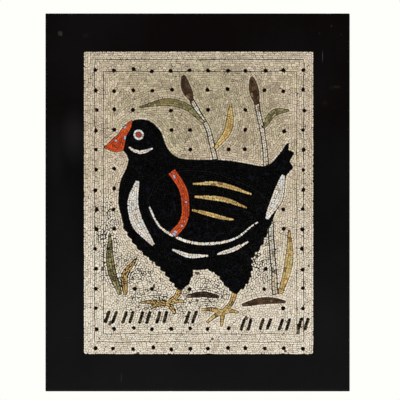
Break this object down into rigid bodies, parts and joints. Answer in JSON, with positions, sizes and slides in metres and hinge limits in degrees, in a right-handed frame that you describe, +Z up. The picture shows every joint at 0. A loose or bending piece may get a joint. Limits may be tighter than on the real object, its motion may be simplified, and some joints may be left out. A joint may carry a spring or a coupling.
{
  "type": "mosaic panel",
  "caption": "Upright rectangular panel of black marble with a picture of tiny tesserae inlaid flush in its face, to hang or build in by its flat back.",
  "frame": {"origin": "centre of the slab's flat back face, where it rests against the wall", "axes": "+Z up along the long side, +X to the right as seen from the front, -Y out of the picture face"},
  "size_m": [0.19, 0.012, 0.236],
  "materials": {
    "black_marble": "polished",
    "mastic": "matt",
    "cream_ground": "honed",
    "cream_border": "honed",
    "white_marble": "honed",
    "pale_reed": "honed",
    "black_smalto": "ground and polished",
    "orange_smalto": "ground and polished",
    "ochre_smalto": "ground and polished",
    "olive_smalto": "ground and polished",
    "brown_smalto": "ground and polished",
    "red_smalto": "ground and polished"
  },
  "bodies": {
    "root": {"beak_and_shield": "orange_smalto", "bird_body": "black_smalto", "border_inner_courses": "cream_border", "border_outer_courses": "cream_border", "breast_patch": "white_marble", "cheek_line": "white_marble", "eye": "red_smalto", "eye_ring": "white_marble", "flank_feather_front": "white_marble", "flank_feather_rear": "white_marble", "ground_tesserae": "cream_ground", "leaf_between": "ochre_smalto", "leaf_left_short": "ochre_smalto", "leaf_left_tall": "olive_smalto", "leaf_middle": "olive_smalto", "leaf_right_high": "olive_smalto", "leaf_right_low": "ochre_smalto", "leg_left": "ochre_smalto", "leg_right": "ochre_smalto", "marble_surround": "black_marble", "mastic_bed": "mastic", "reed_middle": "pale_reed", "reed_right_foot": "pale_reed", "reed_right_top": "pale_reed", "seed_head_middle": "brown_smalto", "seed_head_right": "brown_smalto", "shadow_left": "brown_smalto", "shadow_right": "brown_smalto", "stroke_left_1_1": "black_smalto", "stroke_left_1_2": "black_smalto", "stroke_left_2_1": "black_smalto", "stroke_left_2_2": "black_smalto", "stroke_left_3_1": "black_smalto", "stroke_left_3_2": "black_smalto", "stroke_left_4_1": "black_smalto", "stroke_left_4_2": "black_smalto", "stroke_middle_1_1": "black_smalto", "stroke_middle_1_2": "black_smalto", "stroke_right_1_1": "black_smalto", "stroke_right_1_2": "black_smalto", "stroke_right_2_1": "black_smalto", "stroke_right_2_2": "black_smalto", "stroke_right_3_1": "black_smalto", "stroke_right_3_2": "black_smalto", "stroke_right_4_1": "black_smalto", "stroke_right_4_2": "black_smalto", "undertail": "white_marble", "wing": "black_smalto", "wing_band": "orange_smalto", "wing_edge": "white_marble", "wing_feather_high": "ochre_smalto", "wing_feather_low": "ochre_smalto", "wing_feather_middle": "ochre_smalto", "wing_shoulder": "black_smalto"}
  },
  "joints": []
}
